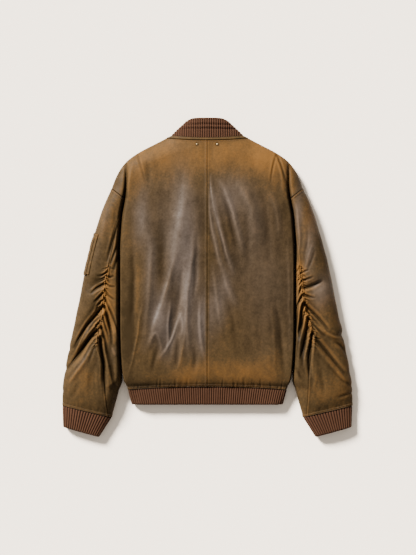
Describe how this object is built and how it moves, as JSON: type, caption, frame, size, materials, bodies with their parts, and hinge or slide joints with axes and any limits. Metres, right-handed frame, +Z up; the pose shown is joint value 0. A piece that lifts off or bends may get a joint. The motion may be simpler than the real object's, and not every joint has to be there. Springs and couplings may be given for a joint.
{
  "type": "worn leather jacket",
  "caption": "Worn brown leather bomber jacket laid face down, with knit collar, cuffs and hem, gathered sleeve seams and a closed front zip.",
  "frame": {"origin": "centre of the bounding box in X and Y, on the surface that the jacket lies on", "axes": "+Z up from that surface, out of the jacket's back; +Y towards the collar; +X to the wearer's right"},
  "size_m": [0.754, 0.8292, 0.0599],
  "materials": {
    "leather": "worn waxed leather, dark olive brown with tan rub-off",
    "knit": "ribbed reddish brown knit",
    "metal": "aged brass"
  },
  "bodies": {
    "garment": {"back_left": "leather", "back_right": "leather", "front_left": "leather", "front_right": "leather", "sleeve_left_outer": "leather", "sleeve_left_inner": "leather", "sleeve_right_outer": "leather", "sleeve_right_inner": "leather", "sleeve_pocket": "leather", "sleeve_pocket_welt": "leather", "collar_band": "leather", "collar_rib": "knit", "hem_rib": "knit", "cuff_left": "knit", "cuff_right": "knit", "zip_chain": "metal", "zip_slider": "metal", "stud_left": "metal", "stud_right": "metal"},
    "zip_pull": {"zip_pull_tab": "metal"}
  },
  "joints": [
    {"name": "zip_pull_hinge", "type": "hinge", "parent": "garment", "child": "zip_pull", "pos_m": [0, 0.3275, 0.00275], "axis": [1, 0, 0], "range_deg": [0, 170]}
  ]
}
